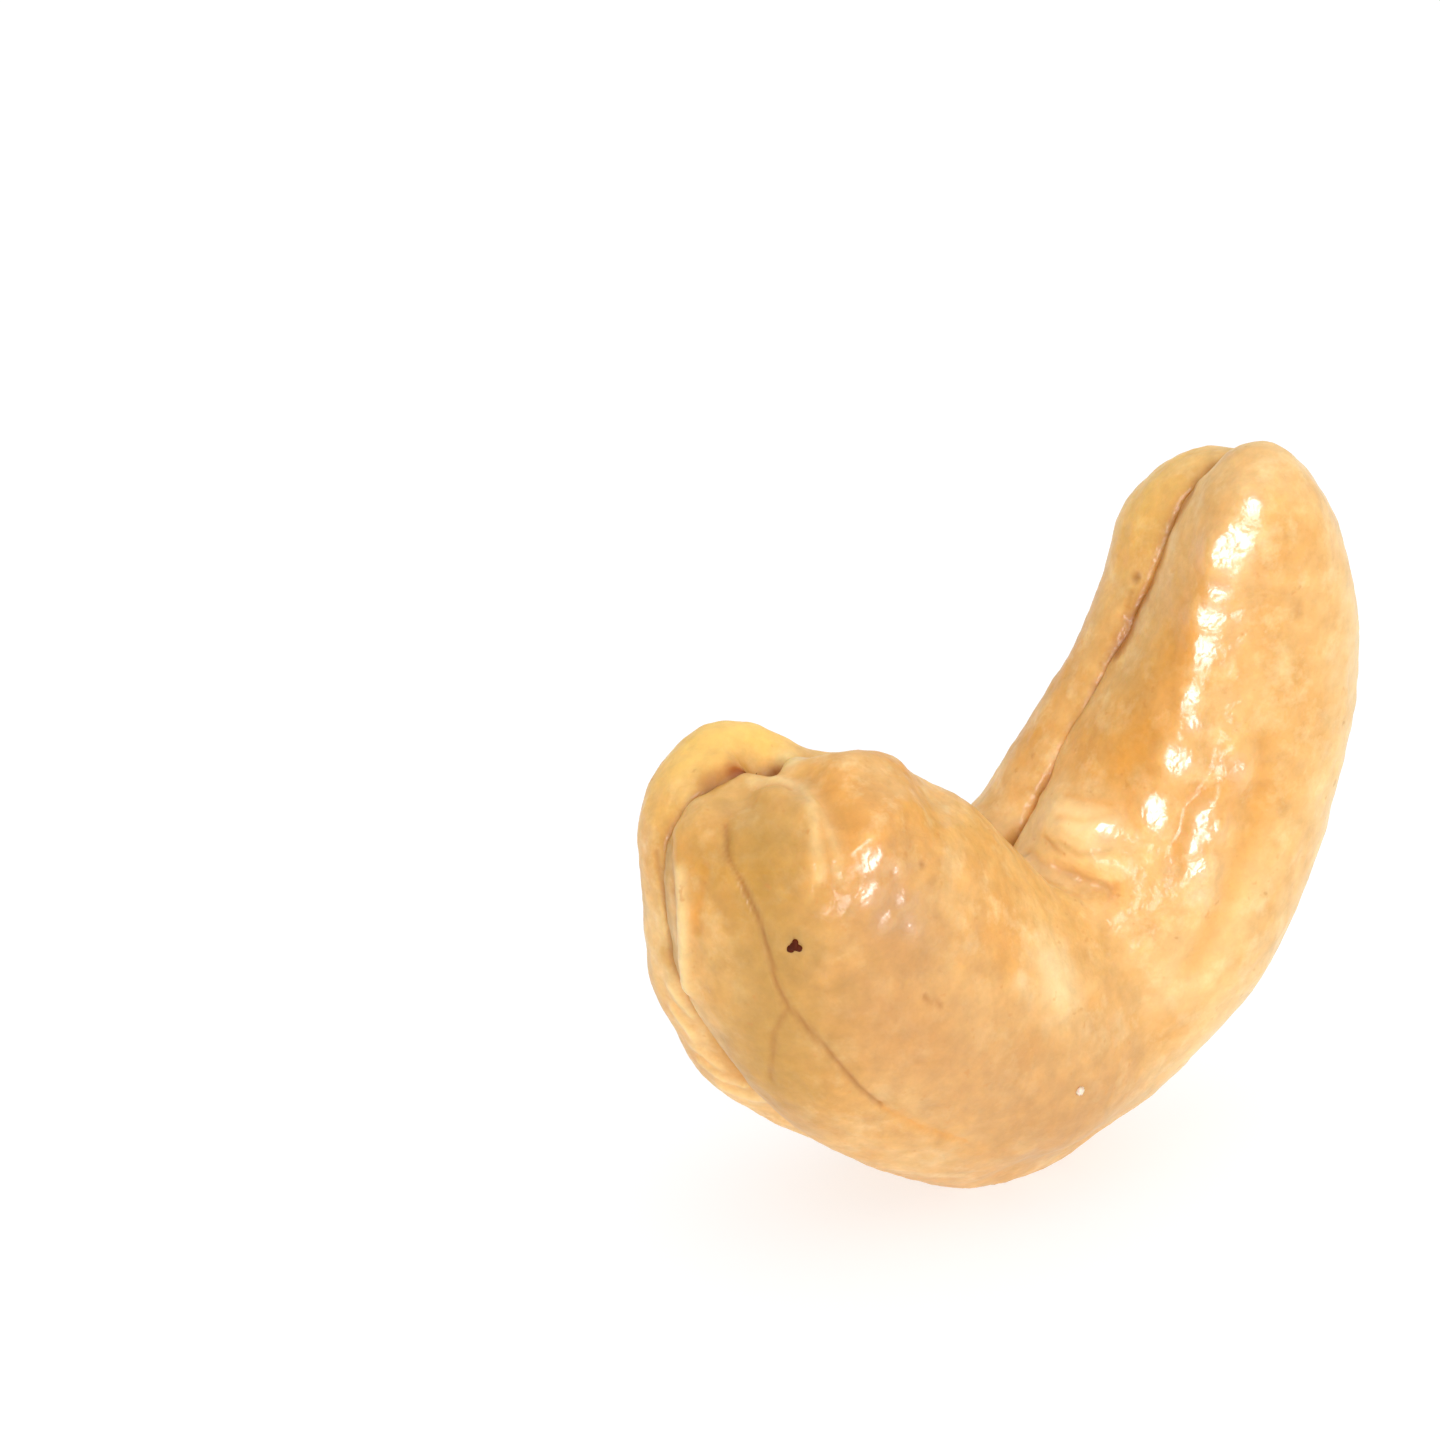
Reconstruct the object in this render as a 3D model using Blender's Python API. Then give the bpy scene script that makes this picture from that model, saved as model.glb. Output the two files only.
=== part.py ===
"""A roasted cashew kernel, shelled and whole, standing on its belly.

The two halves (cotyledons) are grown together at the germ, so the kernel is one solid. The split between
them is a cleft in its surface, which runs round the kernel in the XZ plane. The near half faces -Y and the
far half +Y. The thick arm with the germ is at -X and the thin arm rises at +X. The origin is the middle of
the small flat spot that it rests on.
"""

import math

import bmesh
import bpy
import numpy as np

MM = 0.001

# Driving dimensions, in millimetres. Each row is one section through the kernel, from the germ end to the
# tip: the outer edge of the split (x, y, z), its inner edge (x, y, z), how thick the near and the far half
# are there, how far the halves slide past each other across the arm, and how far they step past each other
# along it.
SECTIONS = (
    ((-9.9, 0.5, 14.4), (-5.7, 0.0, 15.2), (4.5, 3.3), 0.7, -0.1),
    ((-10.8, 0.6, 12.3), (-3.8, 0.0, 14.3), (5.1, 3.3), 0.4, -0.1),
    ((-10.95, 0.5, 10.0), (-2.3, 0.0, 13.0), (5.4, 3.7), 0.1, -0.1),
    ((-10.4, -0.1, 7.0), (-1.2, 0.0, 11.9), (5.4, 4.4), 0.4, 0.0),
    ((-8.3, -0.7, 3.5), (-0.5, 0.0, 11.0), (5.4, 5.2), 0.5, 0.0),
    ((-4.8, -0.6, 1.0), (0.1, 0.0, 10.4), (5.3, 5.1), 0.3, 0.0),
    ((-0.6, -0.2, -0.6), (0.6, 0.0, 10.1), (5.2, 5.0), 0.1, 0.0),
    ((3.6, 0.0, 0.35), (1.2, 0.2, 10.4), (4.7, 4.7), 0.0, 0.0),
    ((7.7, 0.0, 3.6), (1.9, 0.3, 11.4), (5.1, 4.2), -0.2, 0.0),
    ((10.3, 0.2, 7.2), (2.85, 0.4, 12.8), (5.0, 3.8), -0.1, 0.1),
    ((11.7, 0.3, 11.0), (4.0, 0.4, 14.4), (4.8, 3.6), 0.0, 0.3),
    ((12.0, 0.4, 14.7), (5.15, 0.4, 16.3), (4.6, 3.6), 0.0, 0.5),
    ((11.3, 0.4, 17.8), (6.0, 0.4, 18.4), (4.3, 3.8), 0.0, 0.9),
    ((10.6, 0.4, 20.65), (6.6, 0.4, 20.7), (3.8, 3.9), 0.0, 1.6),
)
SECTION_POWER = 2.1  # 2 is an ellipse, more is squarer
ROUND_END = (0.09, 0.11)  # the share of the length that closes over the germ end and the tip
END_POWER, END_ROOT = 2.3, 0.45

# The split, at even steps from the germ end to the tip: how deep the broad hollow between the halves is on
# the inner edge and on the outer edge, and how deep the fine line at its bottom is on each.
SPLIT = (
    (0.80, 0.22, 0.40, 0.22),
    (0.60, 0.25, 0.40, 0.20),
    (0.30, 0.40, 0.40, 0.22),
    (0.30, 0.62, 0.35, 0.20),
    (0.30, 0.05, 0.35, 0.00),
    (0.30, 0.00, 0.40, 0.00),
    (0.30, 0.15, 0.14, 0.15),
    (0.30, 0.20, 0.20, 0.20),
    (0.35, 0.25, 0.36, 0.20),
    (0.45, 0.40, 0.35, 0.25),
)
HOLLOW_WIDTH = 1.2
LINE_WIDTH = 0.3

# Dents pressed into the surface: the places that each one follows (x, y, z), its half width and its depth.
# A negative depth raises the surface.
DENTS = {
    "germ pit": (((-7.4, 0.4, 14.9),), 0.7, 0.7),
    "nib of the germ": (((-6.5, 0.1, 15.0),), 0.55, -0.3),
    "far shoulder": (((-4.5, 2.4, 14.5), (-2.8, 2.8, 14.0)), 1.6, 1.2),
    "crown of the far end": (((-7.9, 2.2, 14.9), (-6.6, 2.2, 15.1)), 1.0, -0.22),
    "top of the panel": (((-8.9, -0.8, 14.3), (-8.2, -0.9, 14.7), (-7.6, -1.5, 14.8)), 0.9, 0.5),
    "corner of the panel": (((-10.0, -0.5, 13.4),), 0.9, -0.35),
    "crown of the near arm": (((-5.9, -1.9, 15.1), (-4.7, -2.1, 14.7)), 1.0, -0.32),
    "slope beside the crown": (((-4.2, -2.6, 14.2), (-3.4, -2.6, 13.3)), 1.1, 0.3),
    "notch under the germ end": (((-7.2, 0.0, 3.0),), 0.9, 0.28),
    "near underside": (((-0.6, -3.8, 0.6), (2.0, -3.5, 0.6)), 1.5, 0.5),
    "flat of the near end": (((-9.6, -3.1, 13.0), (-9.8, -3.7, 11.0)), 1.9, 0.35),
    "rim of the near end": (((-8.6, -1.4, 14.4), (-8.2, -1.7, 14.5), (-8.0, -2.2, 14.4), (-8.0, -3.0, 14.2),
                             (-8.2, -3.7, 13.8), (-8.6, -4.2, 13.1), (-8.7, -4.5, 12.2)), 0.4, -0.16),
    "valley beside the near end": (((-7.7, -2.3, 14.5), (-7.5, -3.0, 14.3), (-7.6, -3.7, 14.1),
                                    (-7.6, -4.3, 13.7), (-7.9, -4.7, 13.2), (-8.2, -4.7, 12.3)), 0.55, 0.22),
    "lip beside the outer split": (((-10.5, -0.1, 12.8), (-10.8, -0.7, 12.0), (-10.9, -1.0, 10.9),
                                    (-10.9, -1.0, 9.6), (-10.7, -0.9, 8.3)), 0.35, -0.16),
    "shoulder of the near arm": (((7.2, -2.6, 19.6), (6.2, -2.4, 17.4), (5.6, -2.6, 15.5), (4.7, -2.8, 13.5)),
                                 1.5, -0.4),
    "ridge one": (((7.4, -2.6, 20.0), (6.7, -2.5, 18.7), (6.0, -2.5, 16.8), (5.8, -2.8, 15.7),
                   (5.2, -3.0, 14.4), (4.4, -3.3, 12.6), (3.7, -3.5, 11.3)), 0.6, -0.25),
    "valley between the ridges": (((5.9, -3.6, 14.4), (5.2, -3.8, 12.8), (4.3, -3.9, 11.3),
                                   (3.8, -4.2, 10.1)), 0.45, 0.1),
    "ridge two": (((6.1, -4.2, 12.9), (4.9, -4.3, 11.0), (4.3, -4.6, 9.5)), 0.5, -0.25),
    "valley of the near arm": (((6.9, -4.3, 13.3), (6.5, -4.5, 11.5), (6.0, -4.7, 10.0), (5.3, -4.9, 8.7),
                                (4.2, -4.9, 6.9)), 0.6, 0.16),
    "fold where the arms meet": (((0.5, -0.3, 10.3), (0.4, -1.3, 10.3), (0.8, -2.2, 9.8), (1.5, -2.8, 9.4),
                                  (2.1, -3.4, 9.2)), 0.4, 0.45),
    "pillow above the fold": (((1.7, -1.4, 10.5), (2.0, -2.4, 10.3)), 0.9, -0.3),
    "valley of the far arm": (((7.6, 4.0, 15.2), (6.6, 4.2, 12.2), (5.0, 4.6, 9.0), (2.9, 4.9, 6.3)), 0.9, 0.4),
    "flat of the far end": (((-9.4, 3.6, 11.1), (-8.2, 4.5, 8.5)), 1.8, 0.3),
}

RINGS = 62  # along the arms, with more over the two ends
END_RINGS = 10  # over each end
END_CROWDING = 2.2  # how much closer together they lie towards the very end
FIRST_END_RING = 0.08  # its size, as a share of the last one's
PER_QUARTER = 14  # points in each quarter of a ring
CROWDING = 1.5  # how much closer together they lie at the split
LOOK_AHEAD = 0.002  # the share of the length over which the direction of the arms is taken

FLESH_COLOUR = (0.83, 0.50, 0.18, 1)
FLESH_ROUGHNESS = 0.42


def smooth(rows, shares):
    """A smooth curve through evenly spaced rows of numbers, read at shares of its length."""
    rows = np.asarray(rows, float)
    spans = len(rows) - 1
    padded = np.vstack([2 * rows[0] - rows[1], rows, 2 * rows[-1] - rows[-2]])
    place = np.clip(np.asarray(shares) * spans, 0, spans - 1e-9)
    first = place.astype(int)
    part = (place - first)[:, None]
    a, b, c, d = (padded[first + k] for k in range(4))
    bend, twist = 2 * a - 5 * b + 4 * c - d, 3 * b - a - 3 * c + d
    return 0.5 * (2 * b + (c - a) * part + bend * part**2 + twist * part**3)


def ring_shares():
    """Where the rings lie along the kernel, crowded together over the two ends."""
    start, end = ROUND_END
    over = np.linspace(FIRST_END_RING, 1, END_RINGS) ** END_CROWDING
    between = np.linspace(start, 1 - end, RINGS)[1:-1]
    return np.concatenate([start * over, between, 1 - end * over[::-1]])


def ring_angles():
    """Angles round a ring, from the inner edge of the split past the near side and the outer edge."""
    quarter = (np.arange(PER_QUARTER + 1) / PER_QUARTER) ** CROWDING * math.pi / 2
    half = np.concatenate([quarter[:-1], (math.pi - quarter[::-1])[:-1]])
    return np.concatenate([half, half + math.pi])


def closing(shares):
    """How wide the kernel still is, from 0 at its two ends to 1 along the arms."""
    start, end = ROUND_END
    from_germ = np.clip((start - shares) / start, 0, 1)
    from_tip = np.clip((shares - 1 + end) / end, 0, 1)
    return ((1 - from_germ**END_POWER) * (1 - from_tip**END_POWER)) ** END_ROOT


def edges(shares):
    outer = smooth([row[0] for row in SECTIONS], shares)
    inner = smooth([row[1] for row in SECTIONS], shares)
    return (outer + inner) / 2, (inner - outer) / 2


def unit(vectors):
    return vectors / np.linalg.norm(vectors, axis=-1, keepdims=True)


def squared(wave):
    return np.sign(wave) * np.abs(wave) ** (2 / SECTION_POWER)


def plain_form(shares, angles):
    """The rings before anything is pressed into them, and how far each point is from the split."""
    centre, half = edges(shares)
    ahead, behind = np.clip(shares + LOOK_AHEAD, 0, 1), np.clip(shares - LOOK_AHEAD, 0, 1)
    along = unit(edges(ahead)[0] - edges(behind)[0])
    near = unit(np.cross(along, half))
    near_thick, far_thick = smooth([row[2] for row in SECTIONS], shares).T
    slide, step = smooth([row[3:] for row in SECTIONS], shares).T
    size = closing(shares)

    inward, sideways = squared(np.cos(angles)), squared(np.sin(angles))
    thick = np.where(sideways[None, :] > 0, near_thick[:, None], far_thick[:, None]) * size[:, None]
    across = thick * sideways[None, :]
    bulge = size[:, None] * np.sin(angles)[None, :]
    reach = (np.linalg.norm(half, axis=1) * size)[:, None] * inward[None, :] + slide[:, None] * bulge
    points = (
        centre[:, None]
        + unit(half)[:, None] * reach[..., None]
        + near[:, None] * across[..., None]
        + along[:, None] * (step[:, None] * bulge)[..., None]
    )
    return points, across, inward


def outward(points):
    """The direction out of the surface at each point of the rings."""
    lengthwise = np.gradient(points, axis=0)
    crosswise = np.roll(points, -1, 1) - np.roll(points, 1, 1)
    normal = unit(np.cross(lengthwise, crosswise))
    return normal * np.sign(((points - points.mean(1, keepdims=True)) * normal).sum())


def distance_to(points, path):
    """How far each point is from the line through the path's places."""
    path = [np.array(place) for place in path]
    if len(path) == 1:
        return np.linalg.norm(points - path[0], axis=-1)
    nearest = np.full(points.shape[:-1], np.inf)
    for a, b in zip(path, path[1:]):
        part = np.clip((points - a) @ (b - a) / ((b - a) @ (b - a)), 0, 1)
        nearest = np.minimum(nearest, np.linalg.norm(points - a - part[..., None] * (b - a), axis=-1))
    return nearest


def press_depth(points, across, inward, shares):
    """How far the surface is pressed in at each point: the split between the halves, and the dents."""
    inner_hollow, outer_hollow, inner_line, outer_line = smooth(SPLIT, shares).T[:, :, None]
    on_inner = (inward[None, :] + 1) / 2
    hollow = inner_hollow * on_inner + outer_hollow * (1 - on_inner)
    line = inner_line * on_inner + outer_line * (1 - on_inner)
    off = np.abs(across)
    depth = hollow * np.exp(-((off / HOLLOW_WIDTH) ** 2)) + line * np.exp(-off / LINE_WIDTH)
    for path, width, deep in DENTS.values():
        depth = depth + deep * np.exp(-((distance_to(points, path) / width) ** 2))
    return depth


def kernel_rings():
    shares, angles = ring_shares(), ring_angles()
    points, across, inward = plain_form(shares, angles)
    points = points - outward(points) * press_depth(points, across, inward, shares)[..., None]
    points[..., 2] = np.maximum(points[..., 2], 0)  # the flat spot that it rests on
    return points


def add_kernel(collection, material):
    """A loft through the rings, closed by a fan of triangles at each end."""
    rings = kernel_rings()
    rows = [[None] * len(ring) for ring in rings]
    mesh = bmesh.new()
    for row, ring in zip(rows, rings):
        row[:] = [mesh.verts.new(place * MM) for place in ring]
    around = len(rows[0])
    for first, second in zip(rows, rows[1:]):
        for k in range(around):
            after = (k + 1) % around
            mesh.faces.new((first[k], first[after], second[after], second[k]))
    for row in (rows[0], rows[-1]):
        middle = mesh.verts.new(np.mean([vert.co for vert in row], axis=0))
        for k in range(around):
            mesh.faces.new((row[k], row[(k + 1) % around], middle))
    bmesh.ops.recalc_face_normals(mesh, faces=mesh.faces)
    bmesh.ops.triangulate(mesh, faces=mesh.faces)

    data = bpy.data.meshes.new("kernel")
    mesh.to_mesh(data)
    mesh.free()
    data.shade_smooth()
    data.materials.append(material)
    kernel = bpy.data.objects.new("kernel", data)
    collection.objects.link(kernel)
    return kernel


def roasted_flesh():
    material = bpy.data.materials.new("roasted cashew")
    material.use_nodes = True
    shader = material.node_tree.nodes["Principled BSDF"]
    shader.inputs["Base Color"].default_value = FLESH_COLOUR
    shader.inputs["Roughness"].default_value = FLESH_ROUGHNESS
    shader.inputs["Metallic"].default_value = 0.0
    return material


def main():
    for old in list(bpy.data.objects):
        bpy.data.objects.remove(old)
    collection = bpy.data.collections.new("cashew kernel")
    bpy.context.scene.collection.children.link(collection)
    add_kernel(collection, roasted_flesh())


main()
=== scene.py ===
# A roasted, oiled cashew kernel standing on its belly on a white table.
# The kernel's own sizes are in millimetres; lights, table and camera are in metres.
import math

import bmesh
import bpy
import numpy as np
from mathutils import Euler, Matrix, Vector, noise


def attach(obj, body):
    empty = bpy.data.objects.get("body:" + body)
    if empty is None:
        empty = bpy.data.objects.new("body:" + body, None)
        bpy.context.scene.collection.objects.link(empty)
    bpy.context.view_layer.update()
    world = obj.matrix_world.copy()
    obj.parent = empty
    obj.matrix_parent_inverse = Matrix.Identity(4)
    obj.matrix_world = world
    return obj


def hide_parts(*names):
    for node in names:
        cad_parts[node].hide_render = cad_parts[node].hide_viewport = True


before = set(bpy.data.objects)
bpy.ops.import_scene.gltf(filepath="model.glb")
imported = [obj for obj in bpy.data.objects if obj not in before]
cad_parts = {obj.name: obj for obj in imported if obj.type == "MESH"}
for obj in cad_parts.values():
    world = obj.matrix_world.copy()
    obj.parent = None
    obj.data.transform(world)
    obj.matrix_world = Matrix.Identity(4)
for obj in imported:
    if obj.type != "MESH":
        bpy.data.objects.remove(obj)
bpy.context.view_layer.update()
mm = 0.001
hair = 1e-9  # keeps the end of a curve inside its last span

# The form of the kernel, the same numbers as in its CAD source
kernelForm = {
    # from the germ end to the tip: outer edge of the split, its inner edge, thickness of the near and the
    # far half, how far the halves slide across the arm and step along it
    "sections": (
        ((-9.9, 0.5, 14.4), (-5.7, 0.0, 15.2), (4.5, 3.3), 0.7, -0.1),
        ((-10.8, 0.6, 12.3), (-3.8, 0.0, 14.3), (5.1, 3.3), 0.4, -0.1),
        ((-10.95, 0.5, 10.0), (-2.3, 0.0, 13.0), (5.4, 3.7), 0.1, -0.1),
        ((-10.4, -0.1, 7.0), (-1.2, 0.0, 11.9), (5.4, 4.4), 0.4, 0.0),
        ((-8.3, -0.7, 3.5), (-0.5, 0.0, 11.0), (5.4, 5.2), 0.5, 0.0),
        ((-4.8, -0.6, 1.0), (0.1, 0.0, 10.4), (5.3, 5.1), 0.3, 0.0),
        ((-0.6, -0.2, -0.6), (0.6, 0.0, 10.1), (5.2, 5.0), 0.1, 0.0),
        ((3.6, 0.0, 0.35), (1.2, 0.2, 10.4), (4.7, 4.7), 0.0, 0.0),
        ((7.7, 0.0, 3.6), (1.9, 0.3, 11.4), (5.1, 4.2), -0.2, 0.0),
        ((10.3, 0.2, 7.2), (2.85, 0.4, 12.8), (5.0, 3.8), -0.1, 0.1),
        ((11.7, 0.3, 11.0), (4.0, 0.4, 14.4), (4.8, 3.6), 0.0, 0.3),
        ((12.0, 0.4, 14.7), (5.15, 0.4, 16.3), (4.6, 3.6), 0.0, 0.5),
        ((11.3, 0.4, 17.8), (6.0, 0.4, 18.4), (4.3, 3.8), 0.0, 0.9),
        ((10.6, 0.4, 20.65), (6.6, 0.4, 20.7), (3.8, 3.9), 0.0, 1.6),
    ),
    "sectionPower": 2.1,  # 2 is an ellipse, more is squarer
    "roundEnd": (0.09, 0.11),  # the share of the length that closes over the germ end and the tip
    "endPower": 2.3,  # more makes the ends blunter
    "endRoot": 0.45,  # less makes them blunter
    # hollow between the halves and the crack in it, each on the inner and on the outer edge
    "split": (
        (0.80, 0.22, 0.40, 0.22),
        (0.60, 0.25, 0.40, 0.20),
        (0.30, 0.40, 0.40, 0.22),
        (0.30, 0.62, 0.35, 0.20),
        (0.30, 0.05, 0.35, 0.00),
        (0.30, 0.00, 0.40, 0.00),
        (0.30, 0.15, 0.14, 0.15),
        (0.30, 0.20, 0.20, 0.20),
        (0.35, 0.25, 0.36, 0.20),
        (0.45, 0.40, 0.35, 0.25),
    ),
    "hollowWidth": 1.2,
    "crackWidth": 0.16,
    "crackDeeper": 1.5,  # how much deeper than in CAD, where the crack is wider
    "crackWander": 0.12,
    "around": 300,  # points in each ring
    "along": 240,  # rings from one round end to the other
    "crowding": 1.4,  # how much closer together the points lie at the split
    "endShare": 0.16,  # of the rings, over each round end
    "firstEndRing": 0.02,  # its size, as a share of the last one's
    "endCrowding": 2.2,
    "lookAhead": 0.002,  # the share of the length over which the arm's direction is taken
}

# Dents pressed into the kernel: the places each one follows, its half width and its depth.
# Below 0 it is raised.
kernelDents = {
    "germPit": (((-7.4, 0.4, 14.9),), 0.7, 0.7),
    "germNib": (((-6.5, 0.1, 15.0),), 0.55, -0.3),
    "farShoulder": (((-4.5, 2.4, 14.5), (-2.8, 2.8, 14.0)), 1.6, 1.2),
    "crownOfFarEnd": (((-7.9, 2.2, 14.9), (-6.6, 2.2, 15.1)), 1.0, -0.22),
    "topOfPanel": (((-8.9, -0.8, 14.3), (-8.2, -0.9, 14.7), (-7.6, -1.5, 14.8)), 0.9, 0.5),
    "cornerOfPanel": (((-10.0, -0.5, 13.4),), 0.9, -0.35),
    "crownOfNearArm": (((-5.9, -1.9, 15.1), (-4.7, -2.1, 14.7)), 1.0, -0.32),
    "slopeBesideCrown": (((-4.2, -2.6, 14.2), (-3.4, -2.6, 13.3)), 1.1, 0.3),
    "notchUnderGermEnd": (((-7.2, 0.0, 3.0),), 0.9, 0.28),
    "nearUnderside": (((-0.6, -3.8, 0.6), (2.0, -3.5, 0.6)), 1.5, 0.5),
    "flatOfNearEnd": (((-9.6, -3.1, 13.0), (-9.8, -3.7, 11.0)), 1.9, 0.35),
    "rimOfNearEnd": (((-8.6, -1.4, 14.4), (-8.2, -1.7, 14.5), (-8.0, -2.2, 14.4), (-8.0, -3.0, 14.2),
                      (-8.2, -3.7, 13.8), (-8.6, -4.2, 13.1), (-8.7, -4.5, 12.2)), 0.4, -0.16),
    "valleyBesideNearEnd": (((-7.7, -2.3, 14.5), (-7.5, -3.0, 14.3), (-7.6, -3.7, 14.1), (-7.6, -4.3, 13.7),
                             (-7.9, -4.7, 13.2), (-8.2, -4.7, 12.3)), 0.55, 0.22),
    "lipBesideOuterSplit": (((-10.5, -0.1, 12.8), (-10.8, -0.7, 12.0), (-10.9, -1.0, 10.9),
                             (-10.9, -1.0, 9.6), (-10.7, -0.9, 8.3)), 0.35, -0.16),
    "shoulderOfNearArm": (((7.2, -2.6, 19.6), (6.2, -2.4, 17.4), (5.6, -2.6, 15.5), (4.7, -2.8, 13.5)),
                          1.5, -0.4),
    "ridgeOne": (((7.4, -2.6, 20.0), (6.7, -2.5, 18.7), (6.0, -2.5, 16.8), (5.8, -2.8, 15.7),
                  (5.2, -3.0, 14.4), (4.4, -3.3, 12.6), (3.7, -3.5, 11.3)), 0.6, -0.25),
    "valleyBetweenRidges": (((5.9, -3.6, 14.4), (5.2, -3.8, 12.8), (4.3, -3.9, 11.3), (3.8, -4.2, 10.1)),
                            0.45, 0.1),
    "ridgeTwo": (((6.1, -4.2, 12.9), (4.9, -4.3, 11.0), (4.3, -4.6, 9.5)), 0.5, -0.25),
    "valleyOfNearArm": (((6.9, -4.3, 13.3), (6.5, -4.5, 11.5), (6.0, -4.7, 10.0), (5.3, -4.9, 8.7),
                         (4.2, -4.9, 6.9)), 0.6, 0.16),
    "foldWhereArmsMeet": (((0.5, -0.3, 10.3), (0.4, -1.3, 10.3), (0.8, -2.2, 9.8), (1.5, -2.8, 9.4),
                           (2.1, -3.4, 9.2)), 0.4, 0.45),
    "pillowAboveFold": (((1.7, -1.4, 10.5), (2.0, -2.4, 10.3)), 0.9, -0.3),
    "valleyOfFarArm": (((7.6, 4.0, 15.2), (6.6, 4.2, 12.2), (5.0, 4.6, 9.0), (2.9, 4.9, 6.3)), 0.9, 0.4),
    "flatOfFarEnd": (((-9.4, 3.6, 11.1), (-8.2, 4.5, 8.5)), 1.8, 0.3),
}

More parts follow.
